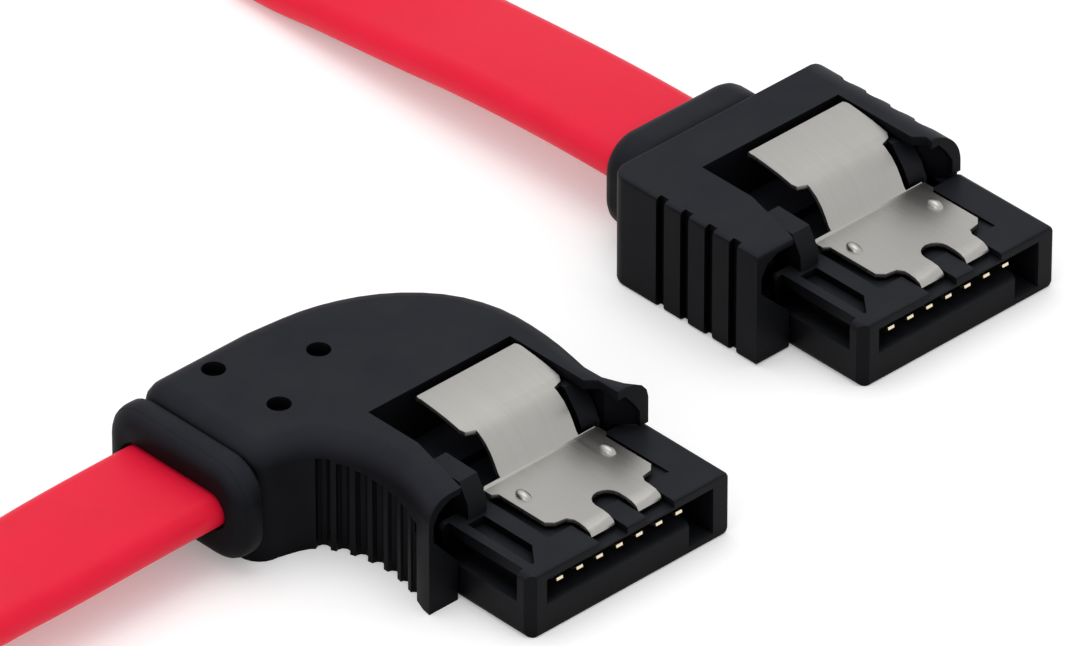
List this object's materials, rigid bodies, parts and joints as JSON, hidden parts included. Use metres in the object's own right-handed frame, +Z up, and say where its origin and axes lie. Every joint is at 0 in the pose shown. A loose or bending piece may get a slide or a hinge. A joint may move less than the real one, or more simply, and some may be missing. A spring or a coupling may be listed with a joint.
{
  "type": "sata data cable",
  "caption": "Flat data cable with a straight receptacle plug and a right-angled one, each with a sprung press latch on top.",
  "frame": {"origin": "on the floor, at the middle of the rectangle that the two plugs cover, cord left out", "axes": "+X across the plugs from the angled one to the straight one, -Y the way both plugs push on, +Z up, latch side up"},
  "size_m": [0.0806, 0.1283, 0.007],
  "materials": {
    "cord_jacket": "soft smooth PVC with a slight sheen",
    "overmould": "moulded soft plastic, faintly scuffed",
    "receptacle": "moulded hard plastic, semi-matt",
    "latch_steel": "thin stamped stainless sheet, satin",
    "contact_plating": "gold-flashed copper alloy",
    "core_insulation": "natural foamed insulation",
    "drain_wire": "bare tinned copper"
  },
  "bodies": {
    "cable": {"flat_cord": "cord_jacket", "straight_overmould": "overmould", "straight_receptacle": "receptacle", "straight_contact_1": "contact_plating", "straight_drain_1": "drain_wire", "straight_contact_2": "contact_plating", "straight_core_2": "core_insulation", "straight_contact_3": "contact_plating", "straight_core_3": "core_insulation", "straight_contact_4": "contact_plating", "straight_drain_4": "drain_wire", "straight_contact_5": "contact_plating", "straight_core_5": "core_insulation", "straight_contact_6": "contact_plating", "straight_core_6": "core_insulation", "straight_contact_7": "contact_plating", "straight_drain_7": "drain_wire", "angled_overmould": "overmould", "angled_receptacle": "receptacle", "angled_contact_1": "contact_plating", "angled_drain_1": "drain_wire", "angled_contact_2": "contact_plating", "angled_core_2": "core_insulation", "angled_contact_3": "contact_plating", "angled_core_3": "core_insulation", "angled_contact_4": "contact_plating", "angled_drain_4": "drain_wire", "angled_contact_5": "contact_plating", "angled_core_5": "core_insulation", "angled_contact_6": "contact_plating", "angled_core_6": "core_insulation", "angled_contact_7": "contact_plating", "angled_drain_7": "drain_wire"},
    "straight_latch": {"straight_latch": "latch_steel"},
    "angled_latch": {"angled_latch": "latch_steel"}
  },
  "joints": [
    {"name": "straight_latch_press", "type": "hinge", "parent": "cable", "child": "straight_latch", "pos_m": [0.01634, -0.00592, 0.0033], "axis": [-1, 0, 0], "range_deg": [0, 4], "stiffness_Nm_per_rad": 0.1},
    {"name": "angled_latch_press", "type": "hinge", "parent": "cable", "child": "angled_latch", "pos_m": [-0.00906, -0.00992, 0.0033], "axis": [-1, 0, 0], "range_deg": [0, 4], "stiffness_Nm_per_rad": 0.1}
  ]
}
